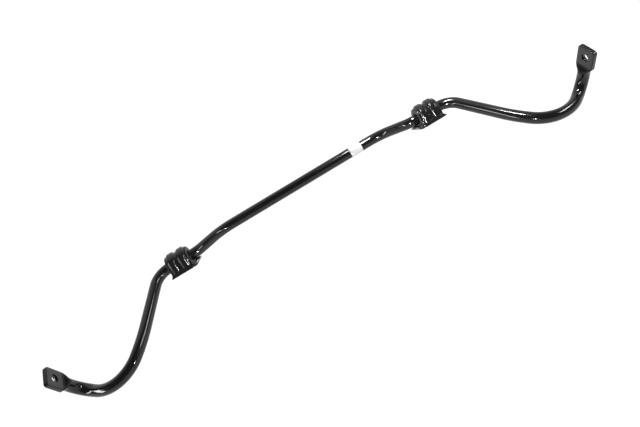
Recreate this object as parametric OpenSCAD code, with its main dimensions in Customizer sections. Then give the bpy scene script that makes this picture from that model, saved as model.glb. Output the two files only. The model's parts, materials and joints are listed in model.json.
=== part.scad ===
// Sway bar (stabiliser bar) with its two clamps.
// X runs across the vehicle, -Y towards the ends of the arms and +Z up.
// The origin is on the resting surface, under the middle of the bar's footprint.
// Millimetres and degrees throughout.

/* [Bar] */
// Diameter of the round bar
bar_d = 22; // [20:0.5:24]
// How far the middle of the bar lies behind the pivot axis
middle_back = 52.5; // [45:0.5:60]
// How far the middle of the bar lies below the pivot axis
middle_drop = 25.5; // [25.5:0.5:28]
// Half length of the middle run, to the corner of its first bend
middle_half = 197; // [192:1:202]
// Half width at which the bar comes up to the pivot axis, inboard of the clamp
inboard_x = 251; // [248:0.5:251]
// Half width at which the bar leaves the pivot axis, outboard of the clamp
outboard_x = 341; // [341:0.5:345]
// Bend radius at the ends of the middle run
middle_bend_r = 63; // [50:1:66]
// Bend radius just inboard of the clamp
inboard_bend_r = 28; // [20:1:28]
// Bend radius just outboard of the clamp
outboard_bend_r = 40; // [30:1:40]
// Bend radius of the gentle sweep in the arm
sweep_r = 190; // [150:5:230]
// Bend radius at the front of the arm
elbow_r = 66; // [56:1:66]
// Bend radius where the arm turns up to its eye
upturn_r = 32; // [26:1:32]

/* [Arm] */
// Half width of the bar at the sweep
sweep_x = 398; // [394:1:402]
// Reach of the sweep in front of the pivot axis
sweep_reach = 127; // [122:1:132]
// Drop of the sweep below the pivot axis
sweep_drop = 11; // [8:1:14]
// Half width of the bar at the elbow
elbow_x = 454; // [450:1:458]
// Reach of the elbow in front of the pivot axis
elbow_reach = 197; // [192:1:202]
// Half width of the bar at the upturn and the eye
eye_x = 535; // [531:1:540]
// Reach of the upturn in front of the pivot axis
upturn_reach = 142; // [138:1:146]

/* [Eye] */
// Reach of the eye's hole in front of the pivot axis
eye_reach = 155; // [150:1:160]
// Height of the eye's hole above the pivot axis
eye_rise = 44.5; // [42:0.5:60]
// Diameter of the hole for the link stud
eye_hole_d = 14; // [12:0.5:15]
// Width of the flattened end
eye_w = 36.5; // [34:0.5:38]
// Thickness of the flattened end
eye_t = 8; // [7:0.5:10]
// Length of the flattened end beyond the hole
eye_tip = 19; // [16:0.5:20]
// Length of the flattened end before the hole
eye_heel = 16; // [14:0.5:18]
// Corner radius of the flattened end
eye_corner_r = 5; // [3:0.5:8]
// Length over which the round bar spreads into the flat
eye_ramp = 10; // [6:0.5:10]

/* [Clamp] */
// Half distance between the clamps
clamp_x = 290; // [289:0.5:291]
// How far the clamps lean back from upright
clamp_lean = 30.5; // [20:0.5:31]
// Length of the saddle along the bar
saddle_l = 43.5; // [42:0.5:44]
// Outside radius of the rubber bush
bush_r = 19.5; // [18:0.5:20]
// Radial gap between the bar and the bush
bush_gap = 0.05; // [0.02:0.01:0.1]
// Length of each rubber lip beyond the saddle
lip_l = 2; // [1.5:0.5:2.5]
// Rise of each rubber lip above the bush
lip_rise = 1.5; // [1:0.5:2]
// Width of the slit that lets the bush open
slit_w = 0.6; // [0.4:0.1:1]
// Sheet thickness of the saddle
sheet_t = 2.5; // [2:0.1:3]
// Sheet thickness of the base plate
plate_t = 2; // [1.5:0.1:2.5]
// Distance from the pivot axis to the underside of the base plate
base_drop = 18.5; // [17.5:0.5:19]
// Distance between the two stiffening beads
bead_pitch = 21.5; // [20:0.5:22]
// Width of the flat top of a bead
bead_flat = 6.5; // [5:0.5:7]
// Rounding radius of a bead
bead_r = 4.5; // [4:0.5:5]
// Rise of a bead above the saddle
bead_rise = 3.5; // [2.5:0.5:4]
// Reach of the base plate from the middle of the clamp, towards the arm
plate_out = 22.5; // [21:0.5:24]
// Reach of the base plate from the middle of the clamp, towards the middle of the bar
plate_in = 34; // [32:1:35]
// Half distance between the bolt holes
bolt_y = 32.5; // [32:0.5:33]
// Diameter of the bolt holes
bolt_hole_d = 9; // [8.5:0.5:10]
// Reach of the saddle's two flanges from its middle, towards the arm
flange_out = 20; // [19:0.5:21]
// Reach of the saddle's two flanges from its middle, towards the middle of the bar
flange_in = 31; // [28:1:32]
// Reach of the flanges and of the base plate, in front of the pivot axis and behind it
flange_reach = 40; // [39:0.5:40]
// Corner radius of the flanges and the base plate on the side towards the middle of the bar
inner_corner_r = 8; // [4:1:10]
// Corner radius of the flanges and the base plate on the side towards the arm
outer_corner_r = 2; // [1:0.5:4]

/* [Label] */
// Distance of the label from the middle of the bar
label_x = 136; // [120:1:145]
// Length of the label along the bar
label_l = 28; // [20:1:32]
// Thickness of the label
label_t = 0.3; // [0.2:0.05:0.5]
// Angle underneath the bar that the label leaves bare
label_gap = 50; // [40:5:90]

/* [Hidden] */
bar_r = bar_d / 2;
// Bends are drawn a hair thinner than the straights that they run into
bend_thin = 0.01;
lap = 0.2;
// The ramp into each eye starts a little inside the round bar
ramp_thin = 0.05;
round_fn = 64;
hull_fn = 32;
black = "#1c1c1e";
rubber = "#2b2b2b";

// Corners of the bar's centre line on the right, about the middle of the pivot axis
middle_end = [middle_half, middle_back, -middle_drop];
sweep = [sweep_x, -sweep_reach, -sweep_drop];
elbow = [elbow_x, -elbow_reach, -middle_drop];
upturn = [eye_x, -upturn_reach, -middle_drop];
eye = [eye_x, -eye_reach, eye_rise];
inboard = [inboard_x, 0, 0];
outboard = [outboard_x, 0, 0];
CORNERS = [[0, middle_back, -middle_drop], middle_end, inboard, outboard, sweep, elbow, upturn, eye];
RADII = [0, middle_bend_r, inboard_bend_r, outboard_bend_r, sweep_r, elbow_r, upturn_r, 0];
last = len(CORNERS) - 1;

// The pivot axis above the resting surface, and in front of the middle of the footprint
axis_z = middle_drop + bar_r;
front_y = elbow_front();
axis_y = -(middle_back + bar_r + front_y) / 2;
pivot = [0, axis_y, axis_z];

bush_l = saddle_l + 2 * lip_l;
flare_l = 2.5;
flare_rise = 1;
saddle_r = bush_r + sheet_t;
bead_axis = saddle_r + bead_rise - bead_r;
leg_z = -base_drop + plate_t;
eye_up = unit(eye - upturn);
eye_end = eye + eye_up * eye_tip;

function unit(v) = v / norm(v);
function turn(a, b) = acos(max(-1, min(1, unit(a) * unit(b))));
// Distance from a corner to where its bend begins
function setback(a, b, r) = r * tan(turn(a, b) / 2);
function way(i) = unit(CORNERS[i + 1] - CORNERS[i]);
function cut(i) = (i == 0 || i == last) ? 0 : setback(way(i - 1), way(i), RADII[i]);
function bend_start(i) = CORNERS[i] - way(i - 1) * cut(i);
function bend_end(i) = CORNERS[i] + way(i) * cut(i);
function bend_normal(i) = unit(cross(way(i - 1), way(i)));
function bend_inward(i) = cross(bend_normal(i), way(i - 1));
function bend_centre(i) = bend_start(i) + bend_inward(i) * RADII[i];
// Lowest y that the outside of the elbow reaches
function elbow_front() =
    bend_centre(5).y - elbow_r * sqrt(1 - pow(bend_normal(5).y, 2)) - bar_r;

// Places children with their own axes along x, y and z at a point
module frame_at(point, x, y, z) {
    multmatrix([[x.x, y.x, z.x, point.x],
                [x.y, y.y, z.y, point.y],
                [x.z, y.z, z.z, point.z],
                [0, 0, 0, 1]])
        children();
}

// A round rod between two points
module rod(a, b, r) {
    v = b - a;
    translate(a)
        rotate([0, acos(v.z / norm(v)), atan2(v.y, v.x)])
            cylinder(h = norm(v), r = r, $fn = round_fn);
}

// The bend at corner i of the centre line
module bend(i) {
    frame_at(bend_centre(i), -bend_inward(i), way(i - 1), bend_normal(i))
        rotate_extrude(angle = turn(way(i - 1), way(i)), $fn = 96)
            translate([RADII[i], 0])
                circle(r = bar_r - bend_thin, $fn = round_fn);
}

// The straight from corner i to the next one, lapped a little into both bends
module straight(i) {
    back = i == 0 ? 0 : lap;
    front = i == last - 1 ? -(eye_heel + eye_ramp) : lap - cut(i + 1);
    rod(bend_end(i) - way(i) * back, CORNERS[i + 1] + way(i) * front, bar_r);
}

// Flat outline of the eye, its tip towards +y and its hole at the origin
module eye_outline() {
    half = eye_w / 2 - eye_corner_r;
    translate([-eye_w / 2, -eye_heel])
        square([eye_w, eye_heel + eye_tip - eye_corner_r]);
    translate([-half, 0])
        square([2 * half, eye_tip]);
    for (side = [-1, 1])
        translate([side * half, eye_tip - eye_corner_r])
            circle(r = eye_corner_r, $fn = round_fn);
}

// The forged end: a flat tongue, and a ramp that spreads the round bar into it
module eye_forging() {
    frame_at(eye, cross(eye_up, [1, 0, 0]), eye_up, [1, 0, 0]) {
        translate([0, 0, -eye_t / 2])
            linear_extrude(eye_t)
                eye_outline();
        hull() {
            translate([0, -eye_heel - eye_ramp, 0])
                rotate([90, 0, 0])
                    cylinder(h = 1, r = bar_r - ramp_thin, $fn = hull_fn);
            translate([-eye_w / 2, -eye_heel, -eye_t / 2])
                cube([eye_w, 1, eye_t]);
        }
    }
}

module half_bar() {
    for (i = [0 : last - 1])
        straight(i);
    for (i = [1 : last - 1])
        bend(i);
    eye_forging();
}

module stabiliser_bar() {
    color(black)
        translate(pivot)
            difference() {
                union() {
                    half_bar();
                    mirror([1, 0, 0])
                        half_bar();
                }
                for (side = [-1, 1])
                    translate([side * eye_x - eye_t, eye.y, eye.z])
                        rotate([0, 90, 0])
                            cylinder(h = 2 * eye_t, d = eye_hole_d, $fn = round_fn);
            }
}

// A band round the bar that stays open underneath, where the bar rests
module identification_label() {
    color("white")
        translate(pivot + [label_x - label_l / 2, middle_back, -middle_drop])
            rotate([0, 90, 0])
                rotate([0, 0, label_gap / 2])
                    rotate_extrude(angle = 360 - label_gap, $fn = round_fn)
                        translate([bar_r, 0])
                            square([label_t, label_l]);
}

// Puts a clamp part on its seat; inside, x runs towards the arm and z up to the crown
module on_seat(side) {
    translate(pivot + [side * clamp_x, 0, 0])
        rotate([-clamp_lean, 0, 0])
            mirror([side < 0 ? 1 : 0, 0, 0])
                children();
}

// D-shaped outline: a round crown on straight sides that stand on the base plate
module d_outline(r) {
    intersection() {
        union() {
            circle(r = r, $fn = round_fn);
            translate([-r, leg_z])
                square([2 * r, -leg_z]);
        }
        translate([-r, leg_z])
            square([2 * r, r - leg_z]);
    }
}

// Extrudes an outline along the bar, centred on the seat
module along_bar(length) {
    rotate([90, 0, 90])
        linear_extrude(length, center = true)
            children();
}

module bushing(side) {
    color(rubber)
        on_seat(side)
            difference() {
                union() {
                    along_bar(bush_l)
                        d_outline(bush_r);
                    for (end = [-1, 1])
                        translate([end * (saddle_l + lip_l) / 2, 0, 0])
                            along_bar(lip_l)
                                d_outline(bush_r + lip_rise);
                }
                translate([-bush_l, 0, 0])
                    rotate([0, 90, 0])
                        cylinder(h = 2 * bush_l, r = bar_r + bush_gap, $fn = round_fn);
                for (end = [0, 1])
                    mirror([end, 0, 0])
                        translate([bush_l / 2 - flare_l, 0, 0])
                            rotate([0, 90, 0])
                                cylinder(h = flare_l + 1, r1 = bar_r + bush_gap,
                                    r2 = bar_r + flare_rise, $fn = round_fn);
                translate([-bush_l, bar_r - 1, -slit_w / 2])
                    cube([2 * bush_l, bush_r, slit_w]);
            }
}

// Section along the bar: x along the bar, y outwards from its axis
module beaded_section(length, r, rounding) {
    translate([-length / 2, 0])
        square([length, r]);
    for (end = [-1, 1])
        translate([end * bead_pitch / 2, 0]) {
            translate([-bead_flat / 2 - rounding, 0])
                square([bead_flat + 2 * rounding, bead_axis]);
            translate([-bead_flat / 2, 0])
                square([bead_flat, bead_axis + rounding]);
            for (edge = [-1, 1])
                translate([edge * bead_flat / 2, bead_axis])
                    circle(r = rounding, $fn = hull_fn);
        }
}

// The pressed sheet, with its two hollow beads
module sheet_section() {
    difference() {
        beaded_section(saddle_l, saddle_r, bead_r);
        beaded_section(saddle_l + 2, bush_r, bead_r - sheet_t);
    }
}

// Sweeps a section half way round the crown, from the front to the back
module over_crown() {
    rotate([0, 90, 0])
        rotate([0, 0, 90])
            rotate_extrude(angle = 180, $fn = 96)
                rotate(90)
                    mirror([0, 1])
                        children();
}

// Quarter of a plate's outline, from its centre to a corner of radius r
module plate_quarter(reach, r) {
    square([reach, flange_reach - r]);
    square([reach - r, flange_reach]);
    translate([reach - r, flange_reach - r])
        circle(r = r, $fn = round_fn);
}

// Outline of a plate; its x runs towards the arm
module plate_outline(outward, inward) {
    for (back = [0, 1])
        mirror([0, back]) {
            plate_quarter(outward, outer_corner_r);
            mirror([1, 0])
                plate_quarter(inward, inner_corner_r);
        }
}

module bolt_holes() {
    for (end = [-1, 1])
        translate([0, end * bolt_y, -2 * base_drop])
            cylinder(h = 2 * base_drop, d = bolt_hole_d, $fn = round_fn);
}

module saddle_bracket(side) {
    color(black)
        on_seat(side)
            difference() {
                union() {
                    over_crown()
                        sheet_section();
                    for (front = [0, 1])
                        mirror([0, front, 0])
                            translate([0, 0, leg_z])
                                linear_extrude(-leg_z)
                                    sheet_section();
                    translate([0, 0, leg_z])
                        linear_extrude(sheet_t)
                            difference() {
                                plate_outline(flange_out, flange_in);
                                translate([-2 * flange_in, -saddle_r])
                                    square([4 * flange_in, 2 * saddle_r]);
                            }
                }
                bolt_holes();
            }
}

module base_plate(side) {
    color(black)
        on_seat(side)
            difference() {
                translate([0, 0, -base_drop])
                    linear_extrude(plate_t)
                        plate_outline(plate_out, plate_in);
                bolt_holes();
            }
}

stabiliser_bar();
identification_label();
bushing(-1);  // left_bushing
bushing(1);  // right_bushing
saddle_bracket(-1);  // left_saddle_bracket
saddle_bracket(1);  // right_saddle_bracket
base_plate(-1);  // left_base_plate
base_plate(1);  // right_base_plate
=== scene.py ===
# A sway bar with its two saddle clamps, lying on a pale studio floor.
# Every piece is built in millimetres about the bar's pivot axis and placed in the CAD frame in metres.
import json
import math

import bmesh
import bpy
from mathutils import Matrix, Vector


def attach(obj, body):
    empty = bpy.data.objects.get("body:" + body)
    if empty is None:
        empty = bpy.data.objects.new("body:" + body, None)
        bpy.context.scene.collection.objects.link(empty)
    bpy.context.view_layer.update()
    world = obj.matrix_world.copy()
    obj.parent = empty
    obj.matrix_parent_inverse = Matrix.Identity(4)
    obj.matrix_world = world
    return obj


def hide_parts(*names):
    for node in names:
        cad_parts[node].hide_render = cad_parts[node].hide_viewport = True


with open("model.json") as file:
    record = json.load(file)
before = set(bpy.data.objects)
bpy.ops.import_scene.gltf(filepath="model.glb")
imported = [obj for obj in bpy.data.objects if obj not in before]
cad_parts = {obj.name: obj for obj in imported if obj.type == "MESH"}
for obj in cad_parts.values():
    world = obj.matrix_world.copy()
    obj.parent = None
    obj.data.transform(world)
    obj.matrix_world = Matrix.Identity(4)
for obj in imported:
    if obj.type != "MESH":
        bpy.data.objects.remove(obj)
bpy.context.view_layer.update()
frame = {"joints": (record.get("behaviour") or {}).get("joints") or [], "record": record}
scene = bpy.context.scene
MM = 0.001

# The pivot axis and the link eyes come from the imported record
MOUNTS = {mount["name"]: mount for mount in frame["record"]["mounts"]}
JOINT = frame["joints"][1]
PIVOT = Vector((0, JOINT["pos_m"][1], JOINT["pos_m"][2]))
CLAMP_X = JOINT["pos_m"][0] / MM
EYE = (Vector(MOUNTS["right_link_eye"]["pos_m"]) - PIVOT) / MM
EYE_HOLE_R = MOUNTS["right_link_eye"]["dims"]["r_mm"]
BOLT_HOLE_R = MOUNTS["right_clamp_rear_bolt"]["dims"]["r_mm"]

# The bar: corners of the right half's centre line and the bend radius at each, in mm
BAR_R = 11
MIDDLE = Vector((0, 52.5, -25.5))
BENDS = [
    (Vector((197, 52.5, -25.5)), 63),
    (Vector((251, 0, 0)), 28),
    (Vector((341, 0, 0)), 40),
    (Vector((398, -127, -11)), 190),
    (Vector((454, -197, -25.5)), 66),
    (Vector((EYE.x, -142, -25.5)), 32),
]
BEND_STEP = math.radians(3)
RING = 64

# The forged eye, in mm
EYE_HALF_W = 18.25
EYE_HALF_T = 4
EYE_TIP = 19
EYE_HEEL = 16
EYE_RAMP = 15
EYE_CORNER_R = 5
EYE_EDGE_R = 1.2
ROUND_POWER = 2
FLAT_POWER = 9
SQUARING_PACE = 1.5
RAMP_STEPS = 14
CORNER_STEPS = 12
HOLE_CHAMFER = 0.7

# The clamp, in mm, with x along the bar towards the arm and z towards its crown
CLAMP_LEAN = math.radians(30.5)
SADDLE_L = 43.5
BUSH_R = 19.5
LIP_L = 2
LIP_RISE = 1.5
FLARE_L = 2.5
FLARE_RISE = 1
BUSH_GAP = 0.05
BUSH_CORNER_R = 1.2
SLIT_W = 0.6
SHEET_T = 2.5
PLATE_T = 2
BASE_DROP = 18.5
BEAD_PITCH = 21.5
BEAD_FLAT = 6.5
BEAD_R = 4.5
BEAD_RISE = 3.5
BEAD_SOFTNESS = 1.1
BOLT_Y = 32.5
PLATE_OUT = 22.5
PLATE_IN = 34
FLANGE_OUT = 20
FLANGE_IN = 31
FLANGE_REACH = 40
INNER_CORNER_R = 8
OUTER_CORNER_R = 2
FOOT_FILLET = 3
FOOT_Y = 28.5
FOOT_MIN = 0.3
FLANGE_HAIR = 0.03
FLANGE_OVERLAP = 0.5
SADDLE_R = BUSH_R + SHEET_T
LEG_Z = PLATE_T - BASE_DROP
EDGE_ROUND = 0.45
EDGE_ANGLE = math.radians(50)
SADDLE_COLUMNS = 79
BOLT_TOOL_L = 10

# The label, in mm
LABEL_X = 136
LABEL_L = 28
LABEL_T = 0.3
LABEL_GAP = math.radians(50)
LABEL_STEPS = 60
LABEL_CLEARANCE = 0.02
LABEL_PRESSED = 0.9
LABEL_END_L = 0.2
LABEL_END_SHARE = 0.7

# The label's pattern: rows along the bar, and bars round it
PRINT_ROWS_PER_M = 230
PRINT_ROW_SHARE = 0.42
PRINT_BARS_PER_RADIAN = 22
PRINT_BLANK_SHARE = 0.38

# The studio, in metres, with places given from the pivot axis
# Across an edge, which is a pair of values, the world goes from dark to pale
FLOOR_HALF = 40
FLOOR_TONE = 0.08
FLOOR_GLOW = 0.97
WORLD_PALE = 1.0
WORLD_DARK = 0.15
BACK_WALL = Vector((0, 0.86, 0.5))
BACK_WALL_EDGE = (0.5, 0.85)
LOW_EDGE = (0.25, 0.02)

# The camera, with angles in degrees, and the lens and sensor in mm
CAMERA_PLACE = Vector((-0.0285, -0.7672, 0.5950))
CAMERA_HEADING = -2.165
CAMERA_DOWN = 41.47
CAMERA_ROLL = -29.70
CAMERA_LENS = 27
CAMERA_SENSOR = 36


# ---------------------------------------------------------------- mesh helpers

def to_frame(point):
    """A point in mm about the pivot axis, as a point of the CAD frame in metres."""
    return PIVOT + Vector(point) * MM


def on_seat(side):
    """The matrix that takes clamp coordinates to mm about the pivot axis."""
    seat = Matrix.Translation((side * CLAMP_X, 0, 0)) @ Matrix.Rotation(-CLAMP_LEAN, 4, "X")
    return seat @ Matrix.Scale(side, 4, (1, 0, 0))


def arc(centre, radius, start, stop, steps):
    """Points of an arc between two angles in degrees."""
    points = []
    for i in range(steps + 1):
        angle = math.radians(start + (stop - start) * i / steps)
        points.append((centre[0] + radius * math.cos(angle), centre[1] + radius * math.sin(angle)))
    return points


def new_object(name, points, faces, place=None):
    """A mesh object from points in mm, moved by a placing matrix first."""
    mesh = bpy.data.meshes.new(name)
    if place:
        points = [place @ Vector(point) for point in points]
    mesh.from_pydata([to_frame(point) for point in points], [], faces)
    mesh.update()
    thing = bpy.data.objects.new(name, mesh)
    scene.collection.objects.link(thing)
    fix_normals(mesh)
    return thing


def fix_normals(mesh):
    """Turns every face outwards."""
    work = bmesh.new()
    work.from_mesh(mesh)
    bmesh.ops.recalc_face_normals(work, faces=work.faces)
    work.to_mesh(mesh)
    work.free()


def loft(rings):
    """Points and faces of a body through rings of equal length, closed at both ends."""
    count = len(rings[0])
    points = [point for ring in rings for point in ring]
    faces = []
    for row in range(len(rings) - 1):
        for i in range(count):
            j = (i + 1) % count
            faces.append((row * count + i, row * count + j, (row + 1) * count + j, (row + 1) * count + i))
    faces.append(tuple(range(count)))
    faces.append(tuple((len(rings) - 1) * count + i for i in range(count)))
    return points, faces


def both_ways(half):
    """A profile on both sides of its middle, from the half on the positive side."""
    return [(-along, radius) for along, radius in reversed(half)] + half


def cylinder(name, centre, axis, length, radii, place=None, count=64):
    """A round tool about centre; radii holds places along the axis, in lengths, and the radius at each."""
    axis = Vector(axis).normalized()
    turn = Vector((0, 0, 1)).rotation_difference(axis)
    rings = []
    for along, radius in radii:
        ring = []
        for i in range(count):
            angle = math.tau * i / count
            spoke = Vector((radius * math.cos(angle), radius * math.sin(angle), along * length))
            ring.append(Vector(centre) + turn @ spoke)
        rings.append(ring)
    return new_object(name, *loft(rings), place)


def extrude(name, outline, low, high, place):
    """A plate from a closed outline in the clamp's x and y."""
    rings = [[(x, y, z) for x, y in outline] for z in (low, high)]
    return new_object(name, *loft(rings), place)


def bake_modifiers(thing):
    """Applies the modifiers of an object to its mesh."""
    graph = bpy.context.evaluated_depsgraph_get()
    mesh = bpy.data.meshes.new_from_object(thing.evaluated_get(graph))
    thing.modifiers.clear()
    old = thing.data
    thing.data = mesh
    bpy.data.meshes.remove(old)
    mesh.name = thing.name


def combine(thing, tools, operation):
    """Joins tools to an object or cuts them from it, and removes them."""
    for tool in tools:
        modifier = thing.modifiers.new(operation.lower(), "BOOLEAN")
        modifier.operation = operation
        modifier.solver = "EXACT"
        modifier.object = tool
    bake_modifiers(thing)
    for tool in tools:
        bpy.data.objects.remove(tool)


def round_edges(thing):
    """Rounds the edges of a sheet."""
    modifier = thing.modifiers.new("edge", "BEVEL")
    modifier.limit_method = "ANGLE"
    modifier.angle_limit = EDGE_ANGLE
    modifier.width = EDGE_ROUND * MM
    modifier.segments = 2
    bake_modifiers(thing)


def shade(thing, angle=40):
    """Smooth shading, except across edges sharper than an angle in degrees."""
    mesh = thing.data
    for face in mesh.polygons:
        face.use_smooth = True
    mesh.set_sharp_from_angle(angle=math.radians(angle))


def finish_piece(thing, material, body, slot, *nodes):
    """Gives a piece its material and body, in place of its CAD nodes; the slot argument is not used."""
    thing.data.materials.clear()
    thing.data.materials.append(material)
    for face in thing.data.polygons:
        face.material_index = 0
    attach(thing, body)
    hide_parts(*nodes)


# ---------------------------------------------------------------- materials

def new_material(name):
    """A material, with its nodes, links and surface shader."""
    material = bpy.data.materials.new(name)
    material.use_nodes = True
    nodes = material.node_tree.nodes
    return material, nodes, material.node_tree.links, nodes["Principled BSDF"]


def noise(nodes, links, coords, scale, detail, roughness=0.5):
    """A noise value between 0 and 1."""
    texture = nodes.new("ShaderNodeTexNoise")
    texture.inputs["Scale"].default_value = scale
    texture.inputs["Detail"].default_value = detail
    texture.inputs["Roughness"].default_value = roughness
    links.new(coords, texture.inputs["Vector"])
    return texture.outputs["Fac"]


def remap(nodes, links, value, low, high):
    """Spreads the middle of a noise value from low to high."""
    node = nodes.new("ShaderNodeMapRange")
    node.inputs["From Min"].default_value = 0.3
    node.inputs["From Max"].default_value = 0.7
    node.inputs["To Min"].default_value = low
    node.inputs["To Max"].default_value = high
    links.new(value, node.inputs["Value"])
    return node.outputs["Result"]


def mix_colour(nodes, links, factor, dark, light):
    """A colour that goes from dark to light with a factor."""
    node = nodes.new("ShaderNodeMix")
    node.data_type = "RGBA"
    node.inputs["A"].default_value = (*dark, 1)
    node.inputs["B"].default_value = (*light, 1)
    links.new(factor, node.inputs["Factor"])
    return node.outputs["Result"]


def bump(nodes, links, shader, height, distance, strength):
    """Fine relief on a shader, to a depth in metres."""
    node = nodes.new("ShaderNodeBump")
    node.inputs["Distance"].default_value = distance
    node.inputs["Strength"].default_value = strength
    links.new(height, node.inputs["Height"])
    links.new(node.outputs["Normal"], shader.inputs["Normal"])


def coated_steel(name, dark, light, smooth, rough, peel_scale, peel_depth, level):
    """Black coat on steel: fine orange peel, with slow changes of gloss and tone."""
    material, nodes, links, shader = new_material(name)
    coords = nodes.new("ShaderNodeTexCoord").outputs["Object"]
    slow = noise(nodes, links, coords, 35, 3)
    fine = noise(nodes, links, coords, peel_scale, 2)
    links.new(mix_colour(nodes, links, slow, dark, light), shader.inputs["Base Color"])
    links.new(remap(nodes, links, slow, smooth, rough), shader.inputs["Roughness"])
    shader.inputs["Specular IOR Level"].default_value = level
    bump(nodes, links, shader, fine, peel_depth, 0.5)
    return material


def rubber(name):
    """Dull black rubber with a fine grain."""
    material, nodes, links, shader = new_material(name)
    coords = nodes.new("ShaderNodeTexCoord").outputs["Object"]
    slow = noise(nodes, links, coords, 60, 4)
    grain = noise(nodes, links, coords, 2600, 3, 0.6)
    links.new(mix_colour(nodes, links, slow, (0.006, 0.006, 0.006), (0.013, 0.013, 0.0125)),
              shader.inputs["Base Color"])
    links.new(remap(nodes, links, slow, 0.42, 0.6), shader.inputs["Roughness"])
    shader.inputs["Specular IOR Level"].default_value = 0.4
    bump(nodes, links, shader, grain, 0.00015, 0.5)
    return material


def math_node(nodes, links, operation, first, second=None):
    """The result of a sum on one or two numbers or sockets."""
    node = nodes.new("ShaderNodeMath")
    node.operation = operation
    for socket, value in zip(node.inputs, (first, second)):
        if value is None:
            continue
        if isinstance(value, (int, float)):
            socket.default_value = value
        else:
            links.new(value, socket)
    return node.outputs["Value"]


def label_film(name):
    """White film with faint grey rows of meaningless bars running round the bar."""
    material, nodes, links, shader = new_material(name)
    coords = nodes.new("ShaderNodeTexCoord").outputs["Object"]
    split = nodes.new("ShaderNodeSeparateXYZ")
    links.new(coords, split.inputs["Vector"])
    centre = PIVOT + MIDDLE * MM
    y = math_node(nodes, links, "SUBTRACT", split.outputs["Y"], centre.y)
    z = math_node(nodes, links, "SUBTRACT", split.outputs["Z"], centre.z)
    angle = math_node(nodes, links, "ARCTAN2", z, y)
    along = math_node(nodes, links, "SUBTRACT", split.outputs["X"], (LABEL_X - LABEL_L / 2) * MM)
    row = math_node(nodes, links, "MULTIPLY", along, PRINT_ROWS_PER_M)
    in_row = math_node(nodes, links, "LESS_THAN", math_node(nodes, links, "FRACT", row), PRINT_ROW_SHARE)
    around = math_node(nodes, links, "MULTIPLY", angle, PRINT_BARS_PER_RADIAN)
    step = math_node(nodes, links, "FLOOR", around)
    place = nodes.new("ShaderNodeCombineXYZ")
    links.new(math_node(nodes, links, "FLOOR", row), place.inputs["X"])
    links.new(step, place.inputs["Y"])
    random = nodes.new("ShaderNodeTexWhiteNoise")
    links.new(place.outputs["Vector"], random.inputs["Vector"])
    filled = math_node(nodes, links, "GREATER_THAN", random.outputs["Value"], PRINT_BLANK_SHARE)
    ink = math_node(nodes, links, "MULTIPLY", in_row, filled)
    colour = mix_colour(nodes, links, ink, (0.5, 0.5, 0.496), (0.36, 0.36, 0.375))
    links.new(colour, shader.inputs["Base Color"])
    paper = noise(nodes, links, coords, 900, 3)
    links.new(remap(nodes, links, paper, 0.4, 0.55), shader.inputs["Roughness"])
    bump(nodes, links, shader, paper, 0.00005, 0.3)
    return material


BAR_COAT = coated_steel("bar_powder_coat", dark=(0.002, 0.002, 0.0022), light=(0.004, 0.004, 0.0043),
                        smooth=0.1, rough=0.16, peel_scale=700, peel_depth=0.000008, level=0.42)
BRACKET_COAT = coated_steel("bracket_dip_coat", dark=(0.0025, 0.0025, 0.0027), light=(0.005, 0.005, 0.0053),
                            smooth=0.13, rough=0.2, peel_scale=900, peel_depth=0.00001, level=0.45)
RUBBER = rubber("bush_rubber")
LABEL = label_film("label_film")


# ---------------------------------------------------------------- the bar

def centre_line():
    """Points of the right half, from the middle to the start of the eye's ramp, with their directions."""
    corners = [MIDDLE] + [corner for corner, radius in BENDS] + [EYE]
    line = [(MIDDLE, Vector((1, 0, 0)))]
    for i, (corner, radius) in enumerate(BENDS, 1):
        arriving = (corner - corners[i - 1]).normalized()
        leaving = (corners[i + 1] - corner).normalized()
        turn = arriving.angle(leaving)
        start = corner - arriving * radius * math.tan(turn / 2)
        axis = arriving.cross(leaving).normalized()
        inward = axis.cross(arriving)
        centre = start + inward * radius
        steps = max(4, math.ceil(turn / BEND_STEP))
        for step in range(steps + 1):
            spin = Matrix.Rotation(turn * step / steps, 3, axis)
            line.append((centre + spin @ (start - centre), spin @ arriving))
    up = (EYE - corners[-2]).normalized()
    line.append((EYE - up * (EYE_HEEL + EYE_RAMP), up))
    return line


def ring_frames(line):
    """Carries one cross direction along the line without twisting it."""
    side = Vector((0, 0, 1))
    frames = []
    for i, (point, way) in enumerate(line):
        if i:
            side = line[i - 1][1].rotation_difference(way) @ side
        side = (side - way * side.dot(way)).normalized()
        frames.append((point, side, way.cross(side)))
    return frames


def flattened(angle, half_w, half_t, power):
    """A point of an outline between an ellipse and a rectangle."""
    c, s = math.cos(angle), math.sin(angle)
    return (half_w * math.copysign(abs(c) ** (2 / power), c),
            half_t * math.copysign(abs(s) ** (2 / power), s))


def smooth_step(t):
    """Eases from 0 to 1 as t goes from 0 to 1."""
    t = max(0.0, min(1.0, t))
    return t * t * (3 - 2 * t)


def quarter(inset, radius):
    """How far an edge rounded to this radius stands back, at a distance inside its end."""
    if inset >= radius:
        return 0
    return radius - math.sqrt(radius ** 2 - (radius - inset) ** 2)


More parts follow.
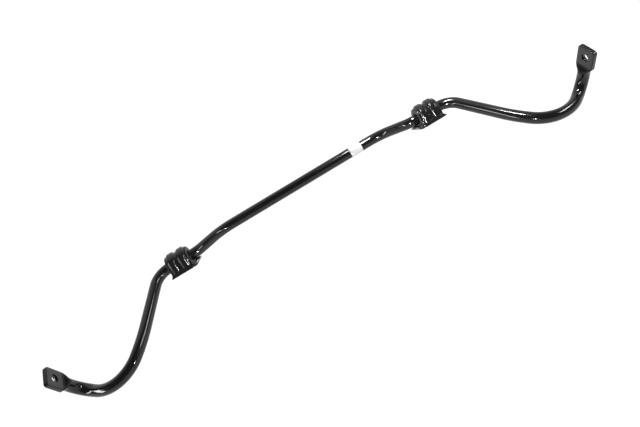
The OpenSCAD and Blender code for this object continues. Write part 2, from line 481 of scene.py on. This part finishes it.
def eye_sections():
    """Distance past the hole, half width, half thickness and squareness of the forged end."""
    rows = []
    for i in range(1, RAMP_STEPS + 1):
        t = i / RAMP_STEPS
        blend = smooth_step(t)
        rows.append((-EYE_HEEL - EYE_RAMP * (1 - t), BAR_R + (EYE_HALF_W - BAR_R) * blend,
                     BAR_R + (EYE_HALF_T - BAR_R) * blend,
                     ROUND_POWER + (FLAT_POWER - ROUND_POWER) * blend ** SQUARING_PACE))
    rows.append((0, EYE_HALF_W, EYE_HALF_T, FLAT_POWER))
    for i in range(CORNER_STEPS + 1):
        inset = EYE_CORNER_R * (1 - math.sin(math.pi / 2 * i / CORNER_STEPS))
        rows.append((EYE_TIP - inset, EYE_HALF_W - quarter(inset, EYE_CORNER_R),
                     EYE_HALF_T - quarter(inset, EYE_EDGE_R), FLAT_POWER))
    return rows


def half_rings():
    """Cross-sections of the right half of the bar, from its middle to the tip of its eye."""
    line = centre_line()
    frames = ring_frames(line)
    rings = []
    for point, side, other in frames:
        rings.append([point + BAR_R * (side * math.cos(math.tau * i / RING)
                                       + other * math.sin(math.tau * i / RING)) for i in range(RING)])
    up = line[-1][1]
    point, side, other = frames[-1]
    flat_way = up.cross(Vector((1, 0, 0))).normalized()
    thick_way = up.cross(flat_way)
    twist = math.atan2(side.dot(thick_way), side.dot(flat_way))
    for along, half_w, half_t, power in eye_sections():
        ring = []
        for i in range(RING):
            w, t = flattened(math.tau * i / RING + twist, half_w, half_t, power)
            ring.append(EYE + up * along + flat_way * w + thick_way * t)
        rings.append(ring)
    return rings


def mirrored(rings):
    """The same rings on the left of the middle."""
    return [[Vector((-p.x, p.y, p.z)) for p in ring] for ring in rings]


def make_bar():
    """The bent bar with its forged eyes, their holes chamfered on both faces."""
    right = half_rings()
    left = mirrored(right)
    bar = new_object("sway_bar", *loft(left[:0:-1] + right))
    depth = EYE_HALF_T + 1
    face = EYE_HALF_T / depth
    wide = EYE_HOLE_R + HOLE_CHAMFER
    profile = both_ways([(face - HOLE_CHAMFER / depth, EYE_HOLE_R), (face, wide), (1, wide + 1)])
    holes = [cylinder("hole", (side * EYE.x, EYE.y, EYE.z), (1, 0, 0), depth, profile) for side in (-1, 1)]
    combine(bar, holes, "DIFFERENCE")
    shade(bar, 45)
    finish_piece(bar, BAR_COAT, "bar", "bar_coating", "stabiliser_bar")


# ---------------------------------------------------------------- the clamps

def bead_height(x):
    """Height of the two beads above the saddle at a place along the bar, with a soft foot."""
    away = max(0, abs(abs(x) - BEAD_PITCH / 2) - BEAD_FLAT / 2)
    height = BEAD_RISE - BEAD_R + math.sqrt(max(0, BEAD_R ** 2 - away ** 2))
    return (height + math.hypot(height, BEAD_SOFTNESS)) / 2


def saddle_path(radius, foot_z, fillet):
    """Half of the sheet's path, from the top of the crown down the leg and out along the foot."""
    fillet = min(fillet, FOOT_Y - radius - FOOT_MIN)
    crown = arc((0, 0), radius, 90, 0, 24)
    leg = [(radius, (foot_z + fillet) * i / 4) for i in range(1, 4)]
    foot = arc((radius + fillet, foot_z + fillet), fillet, 180, 270, 7)
    return crown + leg + foot + [(FOOT_Y, foot_z)]


def saddle_shell(name, place):
    """The pressed sheet with its beads, closed round all its edges."""
    rings = []
    for i in range(SADDLE_COLUMNS):
        x = SADDLE_L * (i / (SADDLE_COLUMNS - 1) - 0.5)
        height = bead_height(x)
        outer = saddle_path(SADDLE_R + height, LEG_Z + SHEET_T, FOOT_FILLET)
        inner = saddle_path(BUSH_R + height, LEG_Z, FOOT_FILLET + SHEET_T / 2)
        outside = [(-y, z) for y, z in outer[:0:-1]] + outer
        inside = [(-y, z) for y, z in inner[:0:-1]] + inner
        rings.append([(x, y, z) for y, z in outside + inside[::-1]])
    return new_object(name, *loft(rings), place)


def plate_edge(outward, inward):
    """The rounded corners of a plate's back edge, from the arm's side to the inner side."""
    return (arc((outward - OUTER_CORNER_R, FLANGE_REACH - OUTER_CORNER_R), OUTER_CORNER_R, 0, 90, 6)
            + arc((INNER_CORNER_R - inward, FLANGE_REACH - INNER_CORNER_R), INNER_CORNER_R, 90, 180, 12))


def bolt_tools(place):
    """Tools for the front and the rear bolt hole."""
    profile = both_ways([(1, BOLT_HOLE_R)])
    return [cylinder("bolt_hole", (0, end * BOLT_Y, LEG_Z), (0, 0, 1), BOLT_TOOL_L, profile, place, 48)
            for end in (-1, 1)]


def make_saddle(side_name, side):
    """The beaded saddle of one clamp, with a flange in front and behind."""
    place = on_seat(side)
    saddle = saddle_shell(side_name + "_saddle", place)
    # The flanges start inside the legs, a hair thinner than the sheet
    root = SADDLE_R + SHEET_T - FLANGE_OVERLAP
    low, high = LEG_Z + FLANGE_HAIR, LEG_Z + SHEET_T - FLANGE_HAIR
    outline = [(FLANGE_OUT, root)] + plate_edge(FLANGE_OUT, FLANGE_IN) + [(-FLANGE_IN, root)]
    flanges = [extrude("flange", [(x, end * y) for x, y in outline], low, high, place) for end in (-1, 1)]
    combine(saddle, flanges, "UNION")
    combine(saddle, bolt_tools(place), "DIFFERENCE")
    round_edges(saddle)
    shade(saddle)
    finish_piece(saddle, BRACKET_COAT, side_name + "_clamp", "bracket_coating", side_name + "_saddle_bracket")


def make_base_plate(side_name, side):
    """The flat plate under one clamp."""
    place = on_seat(side)
    back = plate_edge(PLATE_OUT, PLATE_IN)
    outline = back + [(x, -y) for x, y in reversed(back)]
    plate = extrude(side_name + "_base", outline, -BASE_DROP, LEG_Z, place)
    combine(plate, bolt_tools(place), "DIFFERENCE")
    round_edges(plate)
    shade(plate)
    finish_piece(plate, BRACKET_COAT, side_name + "_clamp", "bracket_coating", side_name + "_base_plate")


def d_ring(x, radius):
    """D-shaped outline of the bush: round crown, straight sides and a flat foot with rounded corners."""
    corner = BUSH_CORNER_R
    outline = arc((0, 0), radius, 0, 180, 40)
    outline += arc((corner - radius, LEG_Z + corner), corner, 180, 270, 5)
    outline += arc((radius - corner, LEG_Z + corner), corner, 270, 360, 5)
    return [(x, y, z) for y, z in outline]


def make_bushing(side_name, side):
    """The rubber bush of one clamp, with a lip past each end of the saddle and a slit along its back."""
    place = on_seat(side)
    half = SADDLE_L / 2
    lip = BUSH_R + LIP_RISE
    end = half + LIP_L
    bore = BAR_R + BUSH_GAP
    profile = [(half - 0.2, BUSH_R), (half + 0.05, lip - 0.5), (half + 0.5, lip), (end - 0.7, lip),
               (end - 0.2, lip - 0.35), (end, lip - 0.9)]
    block = new_object(side_name + "_bush", *loft([d_ring(x, r) for x, r in both_ways(profile)]), place)
    flare = FLARE_L / end
    shape = both_ways([(1 - flare, bore), (1, bore + FLARE_RISE), (1 + flare, bore + 2 * FLARE_RISE)])
    hole = cylinder("bore", (0, 0, 0), (1, 0, 0), end, shape, place)
    far = end + 2
    slit = extrude("slit", [(-far, BAR_R - 1), (far, BAR_R - 1), (far, lip + 3), (-far, lip + 3)],
                   -SLIT_W / 2, SLIT_W / 2, place)
    combine(block, [hole, slit], "DIFFERENCE")
    shade(block, 35)
    finish_piece(block, RUBBER, side_name + "_clamp", "bush_rubber", side_name + "_bushing")


# ---------------------------------------------------------------- the label

def make_label():
    """A thin band with softly rounded ends, open underneath."""
    rings = []
    for i in range(LABEL_STEPS + 1):
        angle = -math.pi / 2 + LABEL_GAP / 2 + (math.tau - LABEL_GAP) * i / LABEL_STEPS
        ring = []
        for x, r in ((0, 0), (0, LABEL_T * LABEL_END_SHARE), (LABEL_END_L, LABEL_T),
                     (LABEL_L - LABEL_END_L, LABEL_T), (LABEL_L, LABEL_T * LABEL_END_SHARE), (LABEL_L, 0)):
            radius = BAR_R + LABEL_CLEARANCE + r * LABEL_PRESSED
            ring.append((LABEL_X - LABEL_L / 2 + x, MIDDLE.y + radius * math.cos(angle),
                         MIDDLE.z + radius * math.sin(angle)))
        rings.append(ring)
    label = new_object("label", *loft(rings))
    shade(label)
    finish_piece(label, LABEL, "bar", "label_film", "identification_label")


# ---------------------------------------------------------------- the studio

def make_floor():
    """A wide pale floor that glows, so that the lamps leave no shadow on it."""
    corners = [(x * FLOOR_HALF, y * FLOOR_HALF, 0) for x, y in ((-1, -1), (1, -1), (1, 1), (-1, 1))]
    mesh = bpy.data.meshes.new("floor")
    mesh.from_pydata(corners, [], [(0, 1, 2, 3)])
    floor = bpy.data.objects.new("floor", mesh)
    scene.collection.objects.link(floor)
    material, nodes, links, shader = new_material("pale_floor")
    shader.inputs["Base Color"].default_value = (FLOOR_TONE, FLOOR_TONE, FLOOR_TONE, 1)
    shader.inputs["Roughness"].default_value = 0.9
    shader.inputs["Specular IOR Level"].default_value = 0.1
    shader.inputs["Emission Color"].default_value = (1, 1, 1, 1)
    shader.inputs["Emission Strength"].default_value = FLOOR_GLOW
    mesh.materials.append(material)


def strip_light(name, start, end, width, radiance, aim=(0, 0, 0), spread=180):
    """A softbox between two points, facing the point that it aims at, all in metres from the pivot axis."""
    start, end = Vector(start), Vector(end)
    middle = (start + end) / 2
    data = bpy.data.lights.new(name, "AREA")
    data.shape = "RECTANGLE"
    data.size = (end - start).length
    data.size_y = width
    data.energy = radiance * math.pi * data.size * data.size_y
    data.spread = math.radians(spread)
    light = bpy.data.objects.new(name, data)
    out = (middle - Vector(aim)).normalized()
    along = (end - start - out * out.dot(end - start)).normalized()
    across = out.cross(along)
    light.rotation_euler = Matrix((along, across, out)).transposed().to_euler()
    light.location = PIVOT + middle
    light.visible_camera = False
    scene.collection.objects.link(light)


def ramp(nodes, links, value, start, stop):
    """Goes smoothly from dark to pale as a value goes from start to stop."""
    node = nodes.new("ShaderNodeMapRange")
    node.interpolation_type = "SMOOTHSTEP"
    node.inputs["From Min"].default_value = start
    node.inputs["From Max"].default_value = stop
    node.inputs["To Min"].default_value = WORLD_DARK
    node.inputs["To Max"].default_value = WORLD_PALE
    links.new(value, node.inputs["Value"])
    return node.outputs["Result"]


def make_world():
    """A grey room with a pale back wall, and pale low down all round."""
    world = bpy.data.worlds.new("studio")
    world.use_nodes = True
    nodes, links = world.node_tree.nodes, world.node_tree.links
    way = nodes.new("ShaderNodeTexCoord").outputs["Generated"]
    split = nodes.new("ShaderNodeSeparateXYZ")
    links.new(way, split.inputs["Vector"])
    facing = nodes.new("ShaderNodeVectorMath")
    facing.operation = "DOT_PRODUCT"
    facing.inputs[1].default_value = BACK_WALL
    links.new(way, facing.inputs[0])
    wall = ramp(nodes, links, facing.outputs["Value"], *BACK_WALL_EDGE)
    low = ramp(nodes, links, split.outputs["Z"], *LOW_EDGE)
    background = nodes["Background"]
    background.inputs["Color"].default_value = (1, 1, 1, 1)
    links.new(math_node(nodes, links, "MAXIMUM", wall, low), background.inputs["Strength"])
    scene.world = world


def make_camera():
    """Looks down on the bar from the front, turned about its own axis as the photographer held it."""
    data = bpy.data.cameras.new("camera")
    data.lens = CAMERA_LENS
    data.sensor_width = CAMERA_SENSOR
    data.clip_end = 100
    camera = bpy.data.objects.new("camera", data)
    heading = Matrix.Rotation(math.radians(CAMERA_HEADING), 3, "Z")
    tilt = Matrix.Rotation(math.radians(90 - CAMERA_DOWN), 3, "X")
    roll = Matrix.Rotation(math.radians(CAMERA_ROLL), 3, "Z")
    camera.rotation_euler = (heading @ tilt @ roll).to_euler()
    camera.location = PIVOT + CAMERA_PLACE
    scene.collection.objects.link(camera)
    scene.camera = camera


make_camera()
make_world()
make_floor()
strip_light("overhead_box", start=(0.34, -0.20, 1.15), end=(0.32, 0.26, 1.15), width=0.08, radiance=18,
            aim=(0.36, 0, 0), spread=50)
strip_light("left_box", start=(-1.76, 0.05, 1.1), end=(-1.8, -1.1, 0.35), width=0.2, radiance=26)
strip_light("right_box", start=(1.75, 0.09, 1.15), end=(1.35, -1.0, 1.3), width=0.2, radiance=28)
for side in (-1, 1):
    strip_light("front_low_box", start=(side * 0.69, -1.57, 0.64), end=(side * 0.75, -1.57, 0.64), width=0.3,
                radiance=9, aim=(-side * 0.29, 0, 0), spread=16)
scene.view_settings.view_transform = "Standard"

make_bar()
make_label()
for side_name, side in (("left", -1), ("right", 1)):
    make_saddle(side_name, side)
    make_base_plate(side_name, side)
    make_bushing(side_name, side)
